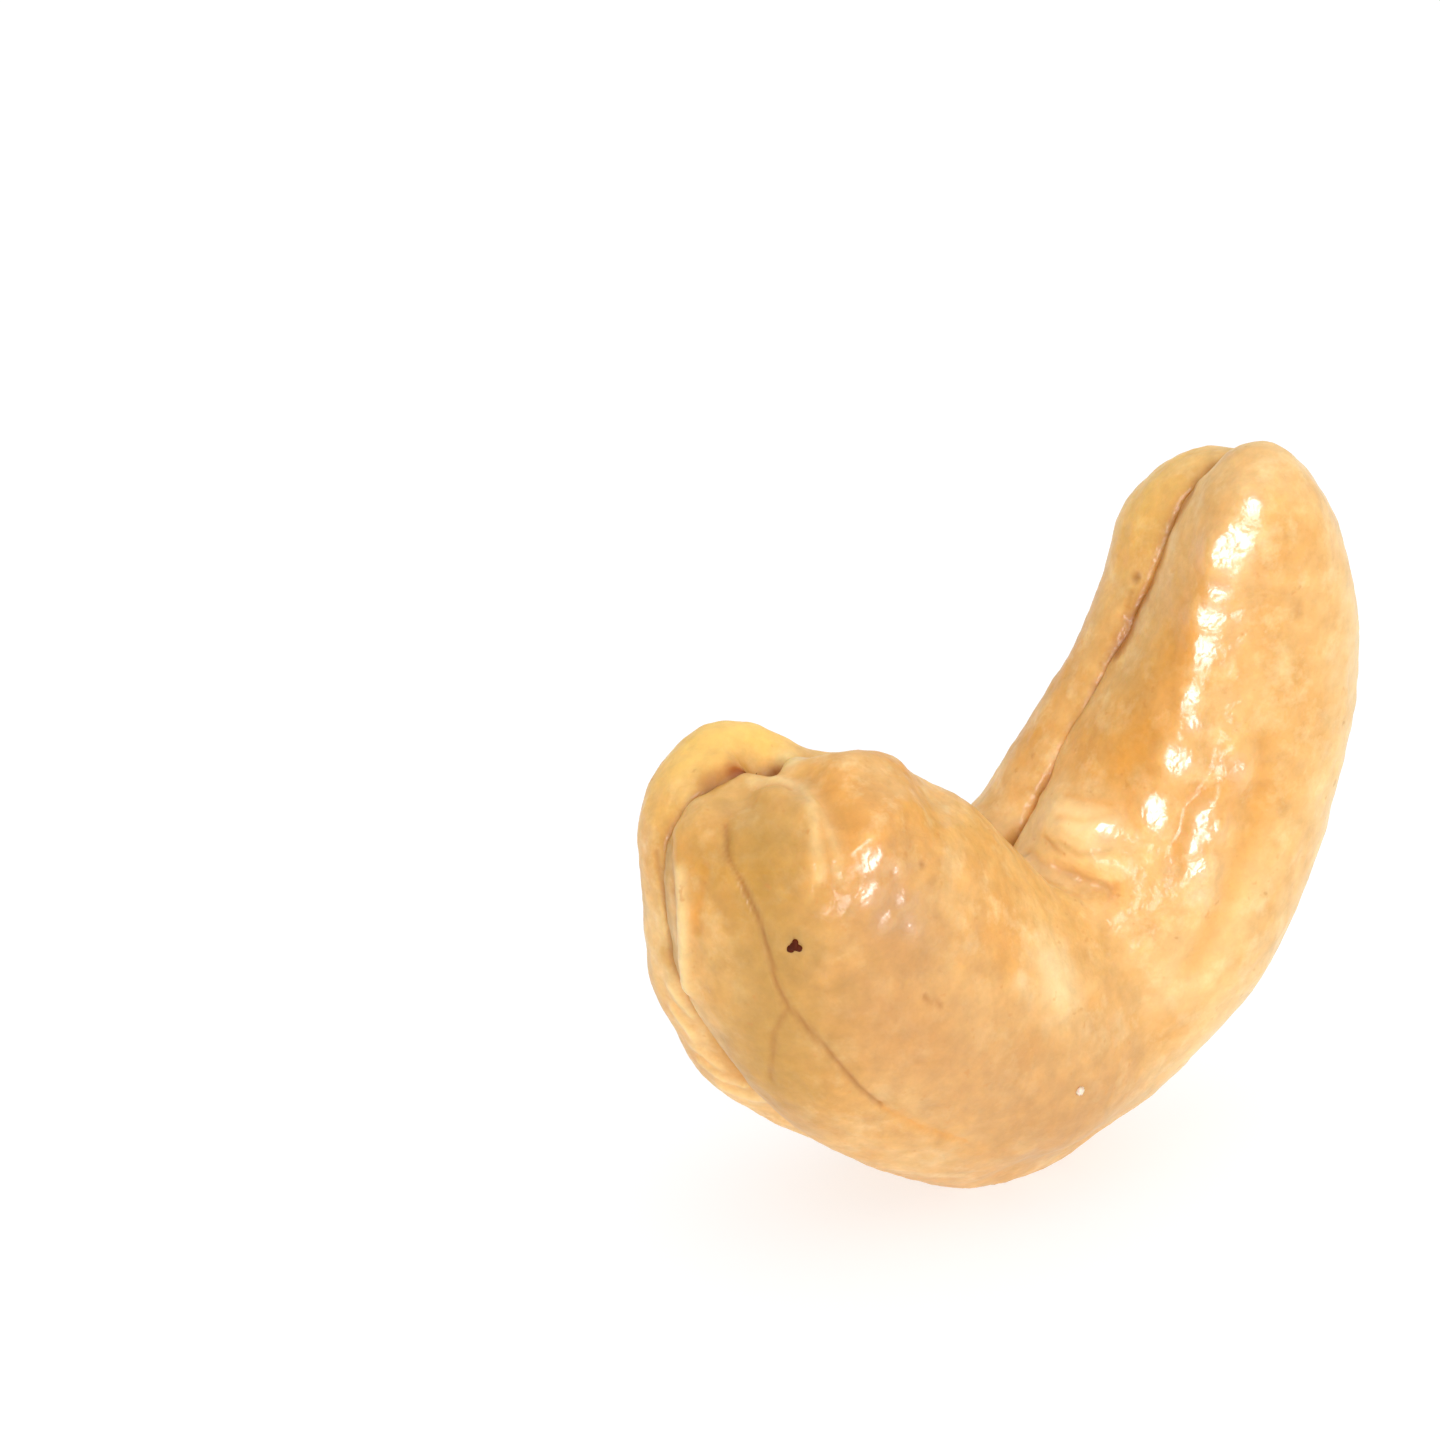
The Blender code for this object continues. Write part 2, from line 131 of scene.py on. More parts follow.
# Fine marks on the flesh, a few of them painted light or shade: places, half width, depth, the tone it takes
# and how strongly
kernelMarks = {
    "veinTop": (((-9.4, -0.9, 13.9), (-9.7, -1.4, 13.5), (-10.1, -2.1, 12.9)), 0.3, 0.02, "brownTone", 0.14),
    "vein": (((-9.7, -1.4, 13.5), (-10.1, -2.1, 12.9), (-10.1, -2.8, 12.2), (-10.0, -3.4, 11.3),
              (-9.8, -3.7, 10.3), (-9.5, -3.8, 9.3), (-9.2, -3.9, 8.7), (-8.7, -4.2, 7.9),
              (-8.0, -4.4, 7.0), (-7.4, -4.6, 6.0), (-6.5, -4.6, 5.1)), 0.095, 0.08, "brownTone", 0.6),
    "veinBranch": (((-9.2, -3.8, 8.4), (-9.3, -3.4, 7.6), (-9.2, -3.1, 6.7), (-9.0, -2.8, 5.8)),
                   0.1, 0.05, "brownTone", 0.38),
    "veinEnd": (((-6.5, -4.6, 5.1), (-5.2, -4.8, 4.0), (-3.6, -4.8, 3.2)), 0.14, 0.06, "warmTone", 0.6),
    "sideGroove": (((-10.5, -1.6, 12.3), (-10.7, -1.6, 11.6), (-10.8, -1.5, 10.9), (-10.8, -1.6, 10.4)),
                   0.2, 0.06, "warmTone", 0.9),
    "pit": (((-8.2, 0.4, 14.0), (-7.8, 0.2, 13.9)), 0.4, 0.08, "rustTone", 1.0),
    "pitSide": (((-7.5, 0.4, 13.8), (-7.0, 0.3, 13.7)), 0.3, 0.06, "rustTone", 0.8),
    "pitSmear": (((-7.9, 0.7, 13.9), (-8.5, 0.6, 13.9), (-9.0, 0.6, 13.8)), 0.42, 0.04, "rustTone", 0.5),
    "nib": (((-6.6, 0.2, 14.0), (-6.9, -0.5, 14.2)), 0.4, -0.12, "paleTone", 1.0),
    "panel": (((-9.6, -2.6, 13.2), (-9.8, -3.7, 11.0), (-9.4, -3.6, 8.5), (-8.8, -2.8, 6.2)),
              2.0, 0.0, "greyTone", 0.8),
    "arch": (((-8.2, -0.5, 14.0), (-7.7, -0.9, 14.1), (-7.4, -1.7, 14.1), (-7.7, -2.8, 14.1),
              (-8.0, -3.4, 13.8), (-8.3, -4.0, 13.3), (-8.4, -4.4, 12.6)), 0.22, -0.06, "paleTone", 0.5),
    "archOutside": (((-7.4, -1.9, 14.1), (-7.6, -2.9, 14.1), (-7.7, -3.6, 13.8), (-7.8, -4.2, 13.4),
                     (-7.9, -4.6, 12.5)), 0.16, -0.05, "paleTone", 0.35),
    "besideArch": (((-7.0, -1.8, 14.4), (-7.0, -2.8, 14.4), (-7.0, -4.0, 13.9), (-7.2, -4.7, 12.9)),
                   0.5, 0.05, "warmTone", 0.5),
    "outerEdge": (((-10.8, 0.4, 12.2), (-10.9, 0.3, 10.5), (-10.5, 0.1, 8.5)), 0.5, 0.0, "greyTone", 0.7),
    "outerLip": (((-10.8, -0.8, 12.0), (-10.9, -1.1, 10.9), (-10.9, -1.1, 9.6), (-10.7, -0.9, 8.3)),
                 0.22, -0.08, "paleTone", 0.8),
    "outerLine": (((-10.5, 0.9, 11.9), (-10.4, 0.7, 10.7), (-10.3, 0.6, 9.6), (-10.3, 0.5, 8.7),
                   (-9.9, -0.2, 6.9), (-9.5, -0.7, 5.9)), 0.13, 0.06, "brownTone", 0.45),
    "outerLineInside": (((-10.6, -0.5, 11.6), (-10.8, -0.6, 10.4), (-10.7, -0.6, 9.2), (-10.4, -0.5, 7.9)),
                        0.13, 0.05, "brownTone", 0.3),
    "foldA": (((-10.3, 0.5, 7.7), (-9.8, 0.1, 6.9)), 0.17, -0.11, "paleTone", 0.5),
    "foldB": (((-9.9, 0.8, 6.9), (-9.4, 0.4, 5.8)), 0.15, -0.1, "paleTone", 0.5),
    "foldC": (((-9.5, 0.7, 5.7), (-9.0, 0.1, 5.0)), 0.2, -0.1, "paleTone", 0.4),
    "foldD": (((-9.2, 0.8, 5.0), (-8.6, 0.3, 4.5), (-8.4, -0.4, 4.4)), 0.14, -0.1, "paleTone", 0.5),
    "foldE": (((-8.6, 0.6, 4.1), (-7.8, -0.2, 3.7), (-7.6, -0.9, 3.8)), 0.2, -0.09, "paleTone", 0.4),
    # painted light: a pale colour that lifts the shade in the fold where the arms meet
    "pillow": (((1.5, -1.0, 10.5), (1.9, -2.2, 10.4)), 1.3, 0.0, "paleTone", 0.8),
    "paleLowArm": (((5.6, -4.6, 8.6), (3.6, -4.9, 6.4)), 1.3, 0.0, "paleTone", 0.4),
    "pillowCrease": (((0.5, -0.9, 10.3), (0.7, -1.9, 9.9), (1.3, -2.6, 9.5), (2.0, -3.2, 9.2)),
                     0.2, 0.08, "brownTone", 0.28),
    "pillowShade": (((0.9, -0.9, 10.6), (1.2, -1.8, 10.2)), 0.6, 0.0, "greyTone", 0.25),
    "pillowWrinkleA": (((2.1, -1.2, 11.4), (2.5, -1.9, 11.4), (2.8, -2.5, 11.4)),
                       0.13, 0.025, "warmTone", 0.45),
    "pillowWrinkleB": (((1.7, -1.5, 10.9), (2.1, -2.2, 10.9), (2.7, -2.6, 11.1)),
                       0.12, 0.02, "warmTone", 0.3),
    "pillowWrinkleC": (((1.5, -1.9, 10.3), (1.9, -2.5, 10.1), (2.4, -3.0, 10.2)),
                       0.12, 0.025, "greyTone", 0.4),
    "pillowWrinkleD": (((1.0, -1.4, 10.4), (1.3, -2.1, 10.1)), 0.1, 0.04, "brownTone", 0.2),
    "innerStrip": (((5.6, -1.3, 16.9), (4.7, -1.4, 14.9), (3.5, -1.6, 13.0)), 1.2, 0.0, "greyTone", 0.2),
    "armBand": (((6.9, -4.3, 13.3), (6.5, -4.5, 11.5), (6.0, -4.7, 10.0), (5.3, -4.9, 8.7), (4.7, -4.9, 8.0),
                 (4.2, -4.9, 6.9)), 0.5, 0.0, "warmTone", 0.55),
    "farLobe": (((-8.6, 1.8, 14.4), (-6.6, 1.8, 14.6)), 1.8, 0.0, "goldTone", 0.85),
    "palePatch": (((-0.5, -5.1, 7.4), (-0.9, -5.0, 8.4)), 0.9, 0.0, "paleTone", 0.8),
    "paleSpot": (((-2.2, -5.1, 8.2),), 0.28, 0.0, "paleTone", 0.7),
    "paleOuterArm": (((10.6, -1.5, 19.5), (11.2, -2.5, 15.5), (10.9, -2.6, 11.0), (8.9, -3.0, 7.0),
                      (5.5, -3.2, 3.0)), 1.9, 0.0, "paleTone", 0.8),
    # painted shade in a tan colour: the belly, the underside of the bulge and the low left are darkened where
    # less light reaches them
    "paintedShadeOnBelly": (((-6.6, -5.0, 8.5), (-3.5, -5.2, 5.0), (0.0, -4.9, 3.0)), 3.2, 0.0, "paintedShadeTone", 0.75),
    "paintedShadeUnderBulge": (((-6.5, -5.2, 11.2), (-6.0, -5.3, 10.0)), 2.2, 0.0, "paintedShadeTone", 0.85),
    "paintedShadeLowOnLeft": (((-8.0, -2.5, 4.0), (-9.2, -1.5, 5.5)), 1.6, 0.0, "paintedShadeTone", 0.6),
    "goldTip": (((7.8, 2.6, 20.6), (6.2, 2.4, 18.6)), 1.8, 0.0, "goldTone", 0.5),
    "amberBesideRidge": (((5.3, -2.5, 16.2), (4.9, -2.6, 14.8)), 0.8, 0.0, "warmTone", 0.6),
    "amberAbovePillow": (((3.9, -2.5, 13.4), (3.3, -2.3, 12.6)), 0.7, 0.0, "warmTone", 0.7),
    "veinBehind": (((-8.9, 3.9, 11.6), (-8.4, 4.4, 9.4), (-7.2, 4.7, 7.4), (-5.6, 5.0, 5.6),
                    (-3.8, 5.0, 4.1)), 0.1, 0.06, "brownTone", 0.4),
    "veinBehindBranch": (((-7.2, 4.7, 7.4), (-5.6, 4.9, 7.6), (-4.2, 5.1, 7.0)),
                         0.1, 0.04, "brownTone", 0.28),
    "ridgeBehind": (((8.4, 4.1, 18.4), (8.2, 4.0, 14.6), (7.4, 4.3, 11.4), (5.8, 4.7, 8.2)),
                    0.5, -0.12, "paleTone", 0.35),
    "amberBehind": (((-2.6, 4.9, 9.4), (0.6, 4.9, 8.6)), 1.6, 0.0, "warmTone", 0.35),
    "paleBehind": (((3.6, 4.6, 4.8), (1.0, 4.9, 3.6)), 1.4, 0.0, "paleTone", 0.45),
    "dentBehind": (((-5.4, 4.6, 11.2),), 0.5, 0.1, "warmTone", 0.3),
    "stain": (((8.2, -4.1, 16.8), (8.1, -4.0, 17.2)), 0.22, 0.02, "brownTone", 0.32),
    "seamStain": (((6.5, 0.3, 19.9), (6.1, 0.3, 18.6), (5.5, 0.3, 17.2), (4.9, 0.3, 15.9), (4.5, 0.3, 15.0)),
                  0.32, 0.04, "rustTone", 0.75),
    "nick": (((5.8, 0.8, 16.7),), 0.18, 0.12, "brownTone", 0.7),
    "nickBelow": (((5.6, 0.7, 16.3), (5.3, 0.6, 15.6)), 0.14, 0.05, "brownTone", 0.35),
    "dotOnBulge": (((-5.3, -4.9, 12.4),), 0.13, 0.05, "brownTone", 0.6),
    "dotBelowIt": (((-5.1, -5.0, 11.9),), 0.22, 0.0, "brownTone", 0.25),
    "scratch": (((-5.6, -5.6, 8.6), (-5.1, -5.6, 8.3)), 0.09, 0.05, "brownTone", 0.45),
}

# Oily knots along the ridges, on the bulge and beside the fold: place and half width. Each gets a small flat
# face, turned so that it sends the window's light to the camera.
oilyKnots = {
    "knots": (
        (7.1, -3.1, 20.2, 0.40), (6.5, -3.1, 19.3, 0.45), (6.1, -3.0, 18.8, 0.60), (6.3, -3.2, 18.3, 0.50),
        (5.7, -3.1, 16.9, 0.60), (5.4, -3.2, 16.0, 0.45), (4.9, -3.4, 14.7, 0.40), (4.9, -3.7, 13.9, 0.35),
        (4.1, -3.6, 13.0, 0.50), (4.4, -3.8, 12.8, 0.45), (3.5, -3.5, 11.6, 0.45), (3.6, -3.8, 11.2, 0.45),
        (5.95, -4.4, 12.4, 0.55), (4.8, -4.4, 11.2, 0.50), (5.0, -4.6, 10.9, 0.45), (4.3, -4.5, 10.4, 0.45),
        (4.5, -4.8, 9.8, 0.45), (4.5, -4.7, 9.0, 0.40), (2.4, -2.75, 10.85, 0.35),
        (-6.9, -4.95, 13.0, 0.50), (-6.2, -5.1, 12.6, 0.35), (-7.1, -5.1, 12.0, 0.45),
        (-6.3, -5.2, 11.7, 0.45), (-6.8, -5.25, 11.1, 0.35), (-5.9, -5.3, 10.9, 0.35),
        (6.8, -3.3, 18.9, 0.35), (5.9, -3.3, 17.6, 0.40),
    ),
    "window": "tallWindow",
    "faceReach": 1.2,  # of the half width
    "facePower": 4,  # more gives the face a sharper rim
    "flatness": 0.85,  # 1 is fully flat
    "oilReach": 0.95,  # of the half width
    "oilElsewhere": 0.18,
}

# Noise that makes the shape uneven. A field is the size of its lumps, how many finer layers it has and where
# it starts.
unevenness = {
    "lumps": ((0.07, (2.6, 2, 1.0)), (0.04, (0.9, 2, 2.0)), (0.018, (0.4, 2, 3.0))),  # height and field
    "crackWander": (1.6, 3, 4.0),
    "crackStainAndShade": (1.1, 2, 7.0),
    "markEdges": (0.6, 3, 5.0),
    "raggedness": 0.35,  # of the marks' edges
    "seedSteps": (1.0, 0.7, -1.3),  # how far a seed moves the noise along x, y and z
    "smoothness": 1.0,  # more makes the finer layers weaker
    "finer": 2.0,  # how much smaller the lumps of each layer are than those before
}

# How brown the crack is: partly a stain and partly painted shade, darker where the crack is deeper
crackStainAndShade = {
    "tone": "brownTone",
    "fullDepth": 0.45,  # of the crack, where it is as brown as it gets
    "rise": 0.9,  # less browns the shallow parts sooner
    "usual": 0.5,
    "change": 0.6,  # more or less than usual, from place to place
    "least": 0.1,
}

# Colours that the marks lay over the flesh, in this order
fleshTones = {
    # painted shade for the lower side, in a tan colour
    "paintedShadeTone": (0.56, 0.285, 0.088, 1),
    "paleTone": (0.95, 0.70, 0.34, 1),
    "goldTone": (0.97, 0.60, 0.13, 1),
    "warmTone": (0.78, 0.355, 0.05, 1),
    "greyTone": (0.49, 0.265, 0.043, 1),
    "brownTone": (0.39, 0.145, 0.012, 1),
    "rustTone": (0.38, 0.10, 0.003, 1),
}

studio = {
    "skyWhite": (1.0, 1.0, 1.0),
    "skyDim": 0.08,  # on the side of the germ
    "skyBright": 0.62,  # on the side of the thin arm
    "skyTop": 0.95,  # and this much more straight overhead
    # azimuth and elevation it shines from, distance, width, height, watts, colour
    "lamps": {
        "tallWindow": (-30.0, 15.0, 0.5, 0.15, 0.19, 1.2, (1.0, 0.94, 0.95)),
    },
    "lampAim": (0.0, 0.0, 0.010),
}

photoCamera = {
    "azimuth": -32.0,
    "elevation": 24.0,
    "distance": 0.3,
    "pixelsPerMetre": 34000.0,
    "frameWide": 1440.0,
    "frameHigh": 1443.0,
    "originAt": (978.8, 1149.4),  # the pixel that shows the middle of the resting spot
    "sensor": 36.0,
    "clipStart": 0.01,
}


def towards(azimuth, elevation):  # 0 azimuth is the near side of the kernel
    turn, rise = math.radians(azimuth), math.radians(elevation)
    return Vector((math.sin(turn) * math.cos(rise), -math.cos(turn) * math.cos(rise), math.sin(rise)))


def smoothRows(rows, shares):  # a smooth curve through evenly spaced rows, read at shares of its length
    rows = np.asarray(rows, float)
    spans = len(rows) - 1
    padded = np.vstack([2 * rows[0] - rows[1], rows, 2 * rows[-1] - rows[-2]])
    place = np.clip(np.asarray(shares) * spans, 0, spans - hair)
    first = place.astype(int)
    part = (place - first)[:, None]
    a, b, c, d = (padded[first + k] for k in range(4))
    bend = 2 * a - 5 * b + 4 * c - d
    twist = 3 * b - a - 3 * c + d
    return 0.5 * (2 * b + (c - a) * part + bend * part**2 + twist * part**3)


def unit(vectors):
    return vectors / np.linalg.norm(vectors, axis=-1, keepdims=True)


def ringShares(form):
    start, end = form["roundEnd"]
    endRings = int(form["along"] * form["endShare"])
    over = np.linspace(form["firstEndRing"], 1, endRings) ** form["endCrowding"]
    between = np.linspace(start, 1 - end, form["along"])[1:-1]
    return np.concatenate([start * over, between, 1 - end * over[::-1]])


def ringAngles(form):  # 0 is the inner edge of the split, a quarter turn the near side, a half the outer edge
    quarterCount = form["around"] // 4
    quarter = (np.arange(quarterCount + 1) / quarterCount) ** form["crowding"] * math.pi / 2
    half = np.concatenate([quarter[:-1], (math.pi - quarter[::-1])[:-1]])
    return np.concatenate([half, half + math.pi])


def edgeMiddles(form, shares):
    outer = smoothRows([row[0] for row in form["sections"]], shares)
    inner = smoothRows([row[1] for row in form["sections"]], shares)
    return (outer + inner) / 2, (inner - outer) / 2


def plainKernel(form, shares, angles):
    centre, half = edgeMiddles(form, shares)
    ahead = form["lookAhead"]
    along = unit(edgeMiddles(form, np.clip(shares + ahead, 0, 1))[0]
                 - edgeMiddles(form, np.clip(shares - ahead, 0, 1))[0])
    near = unit(np.cross(along, half))
    nearThick, farThick = smoothRows([row[2] for row in form["sections"]], shares).T
    slide, step = smoothRows([row[3:] for row in form["sections"]], shares).T
    start, end = form["roundEnd"]
    fromGerm = np.clip((start - shares) / start, 0, 1)
    fromTip = np.clip((shares - 1 + end) / end, 0, 1)
    size = ((1 - fromGerm ** form["endPower"]) * (1 - fromTip ** form["endPower"])) ** form["endRoot"]

    inward, sideways = (np.sign(wave) * np.abs(wave) ** (2 / form["sectionPower"])
                        for wave in (np.cos(angles), np.sin(angles)))
    thick = np.where(sideways[None, :] > 0, nearThick[:, None], farThick[:, None]) * size[:, None]
    across = thick * sideways[None, :]
    bulge = size[:, None] * np.sin(angles)[None, :]
    reach = (np.linalg.norm(half, axis=1) * size)[:, None] * inward[None, :] + slide[:, None] * bulge
    points = (centre[:, None] + unit(half)[:, None] * reach[..., None] + near[:, None] * across[..., None]
              + along[:, None] * (step[:, None] * bulge)[..., None])
    return points, across, inward


def outwardOf(points):
    lengthwise = np.gradient(points, axis=0)
    crosswise = np.roll(points, -1, 1) - np.roll(points, 1, 1)
    normal = unit(np.cross(lengthwise, crosswise))
    return normal * np.sign(((points - points.mean(1, keepdims=True)) * normal).sum())


def distanceTo(points, path):
    path = [np.array(place) for place in path]
    if len(path) == 1:
        return np.linalg.norm(points - path[0], axis=-1)
    nearest = np.full(points.shape[:-1], np.inf)
    for a, b in zip(path, path[1:]):
        part = np.clip((points - a) @ (b - a) / ((b - a) @ (b - a)), 0, 1)
        nearest = np.minimum(nearest, np.linalg.norm(points - a - part[..., None] * (b - a), axis=-1))
    return nearest


def ontoSurface(points, path):  # moves each place of a mark to the nearest point of the kernel
    flat = points.reshape(-1, 3)
    return [flat[np.argmin(((flat - np.array(place)) ** 2).sum(1))] for place in path]


def bell(distance, width):
    return np.exp(-((distance / width) ** 2))


def lumps(points, size, layers, seed):  # smooth noise of about -1 to 1 at each point, on lumps of that size
    shift = Vector([seed * step for step in unevenness["seedSteps"]])
    smoothness, finer = unevenness["smoothness"], unevenness["finer"]
    values = [noise.fractal(Vector(place) / size + shift, smoothness, finer, layers)
              for place in points.reshape(-1, 3)]
    return np.array(values).reshape(points.shape[:-1])


def splitPress(form, points, across, inward, shares):
    innerHollow, outerHollow, innerCrack, outerCrack = smoothRows(form["split"], shares).T[:, :, None]
    onInner = (inward[None, :] + 1) / 2
    hollow = innerHollow * onInner + outerHollow * (1 - onInner)
    crack = (innerCrack * onInner + outerCrack * (1 - onInner)) * form["crackDeeper"]
    wander = form["crackWander"] * lumps(points, *unevenness["crackWander"])
    crackLine = np.exp(-np.abs(across - wander) / form["crackWidth"])
    return hollow * bell(across, form["hollowWidth"]) + crack * crackLine, crack * crackLine


def facedKnots(points, ragged):  # where the points go, and how oily each one is
    window = towards(*studio["lamps"][oilyKnots["window"]][:2])
    viewer = towards(photoCamera["azimuth"], photoCamera["elevation"])
    glintWay = np.array((window + viewer).normalized())
    oil = np.zeros(points.shape[:-1])
    for x, y, z, width in oilyKnots["knots"]:
        place = ontoSurface(points, [(x, y, z)])
        away = distanceTo(points, place)
        proud = (points - place[0]) @ glintWay  # how far each point stands out of the flat face
        face = np.exp(-((away / (width * oilyKnots["faceReach"])) ** oilyKnots["facePower"]))
        points = points - glintWay * (oilyKnots["flatness"] * proud * face)[..., None]
        oil = np.maximum(oil, bell(away * ragged, width * oilyKnots["oilReach"]))
    return points, oil


def shapeKernel(form):
    shares, angles = ringShares(form), ringAngles(form)
    points, across, inward = plainKernel(form, shares, angles)
    press, crack = splitPress(form, points, across, inward, shares)
    for path, width, deep in kernelDents.values():
        press = press + deep * bell(distanceTo(points, path), width)
    points = points - outwardOf(points) * press[..., None]

    tones = {name: np.zeros(points.shape[:-1]) for name in fleshTones}
    # the crack's brown, partly a stain and partly painted shade that grows with its depth
    stainAndShade = np.clip(crack / crackStainAndShade["fullDepth"], 0, 1) ** crackStainAndShade["rise"]
    patchy = crackStainAndShade["usual"] + crackStainAndShade["change"] * lumps(points, *unevenness["crackStainAndShade"])
    tones[crackStainAndShade["tone"]] += stainAndShade * np.clip(patchy, crackStainAndShade["least"], 1)
    press = sum(height * lumps(points, *field) for height, field in unevenness["lumps"])
    # so that no mark has a drawn edge
    ragged = 1 + unevenness["raggedness"] * lumps(points, *unevenness["markEdges"])
    for path, width, deep, tone, strength in kernelMarks.values():
        mark = bell(distanceTo(points, ontoSurface(points, path)) * ragged, width)
        press = press + deep * mark
        tones[tone] = np.maximum(tones[tone], strength * mark)
    points = points - outwardOf(points) * press[..., None]
    points, tones["oilTone"] = facedKnots(points, ragged)
    points[..., 2] = np.maximum(points[..., 2], 0)  # the flat spot that it rests on
    return points, tones


def ringMesh(name, rings, tones):
    count, around = rings.shape[:2]
    ends = [rings[0].mean(0), rings[-1].mean(0)]
    places = np.vstack([rings.reshape(-1, 3), ends]) * mm
    faces = []
    for row in range(count - 1):
        for k in range(around):
            after = (k + 1) % around
            faces.append((row * around + k, row * around + after,
                          (row + 1) * around + after, (row + 1) * around + k))
    first, last = count * around, count * around + 1
    for k in range(around):
        after = (k + 1) % around
        faces.append((first, after, k))
        faces.append((last, (count - 1) * around + k, (count - 1) * around + after))
    data = bpy.data.meshes.new(name)
    data.from_pydata([tuple(place) for place in places], [], faces)
    for tone, values in tones.items():
        attribute = data.attributes.new(tone, "FLOAT", "POINT")
        endValues = [values[0].mean(), values[-1].mean()]
        attribute.data.foreach_set("value", np.concatenate([values.ravel(), endValues]).astype(np.float32))
    data.validate()
    data.shade_smooth()
    return data


def addObject(name, data):
    thing = bpy.data.objects.new(name, data)
    bpy.context.scene.collection.objects.link(thing)
    return thing


def nodeMaker(material):  # gives a function that adds a node, with its inputs set or linked
    material.use_nodes = True
    tree = material.node_tree
    tree.nodes.clear()

    def make(kind, inputs=None, **settings):
        node = tree.nodes.new(kind)
        for name, value in settings.items():
            setattr(node, name, value)
        for socket, value in (inputs or {}).items():
            if isinstance(value, bpy.types.NodeSocket):
                tree.links.new(value, node.inputs[socket])
            else:
                node.inputs[socket].default_value = value
        return node

    return make


def mixColour(make, amount, first, second, blend="MIX"):
    node = make("ShaderNodeMix", data_type="RGBA", blend_type=blend)
    tree = node.id_data
    for socket, value in (("Factor_Float", amount), ("A_Color", first), ("B_Color", second)):
        entry = next(s for s in node.inputs if s.identifier == socket)
        if isinstance(value, bpy.types.NodeSocket):
            tree.links.new(value, entry)
        else:
            entry.default_value = value
    return next(s for s in node.outputs if s.identifier == "Result_Color")


fleshColours = {
    "base": (0.73, 0.375, 0.09, 1),
    "baseLight": (0.87, 0.545, 0.20, 1),
    "blush": (0.78, 0.355, 0.052, 1),
    "blotches": (0.95, 0.70, 0.34, 1),
    "flecks": (0.62, 0.26, 0.05, 1),
}
# Noise in the flesh: scale in lumps to the metre, the part of the noise that is read and what it becomes
fleshNoise = {
    "patches": {"scale": 330.0, "detail": 5.0, "roughness": 0.68, "low": 0.36, "high": 0.66},
    "blush": {"scale": 210.0, "detail": 4.0, "roughness": 0.6, "low": 0.50, "high": 0.72,
              "toHigh": 0.7, "distortion": 0.4},
    "blotches": {"scale": 1000.0, "detail": 4.0, "roughness": 0.65, "low": 0.51, "high": 0.74,
                 "toHigh": 0.65},
    "flecks": {"scale": 2600.0, "detail": 2.0, "roughness": 0.5, "low": 0.68, "high": 0.78, "toHigh": 0.5},
    "grain": {"scale": 1500.0, "detail": 5.0, "roughness": 0.65, "low": 0.3, "high": 0.7,
              "toLow": 0.88, "toHigh": 1.07},
    "creasedPlaces": {"scale": 260.0, "detail": 2.0, "roughness": 0.5, "low": 0.42, "high": 0.62},
    "fineSkin": {"scale": 1500.0, "detail": 5.0, "roughness": 0.65, "low": 0.0, "high": 1.0},
    "oilWaves": {"scale": 1900.0, "detail": 2.0, "roughness": 0.5, "low": 0.0, "high": 1.0,
                 "distortion": 0.3},
}
# Faint creases round cells of the skin
fleshCreases = {
    "cells": 620.0,  # to the metre
    "width": 0.12,
    "bends": 700.0,  # to the metre
    "bendBy": 0.0009,
    "shade": 0.955,
    "deep": -0.35,  # beside the fine skin, which goes from 0 to 1
}
fleshFinish = {
    "roughness": 0.45,
    "bending": 1.45,  # of light
    "specular": 0.3,
    "glowThrough": 0.5,  # light that goes in and comes out again beside it
    "glowColours": (1.0, 0.55, 0.25),  # how far red, green and blue go, times the reach
    "glowReach": 0.0015,
    "oilRoughness": 0.27,
    "oilBending": 2.2,
    "skinBump": {"Strength": 0.8, "Distance": 0.00005},
    "oilBump": {"Strength": 1.0, "Distance": 0.00008},
}


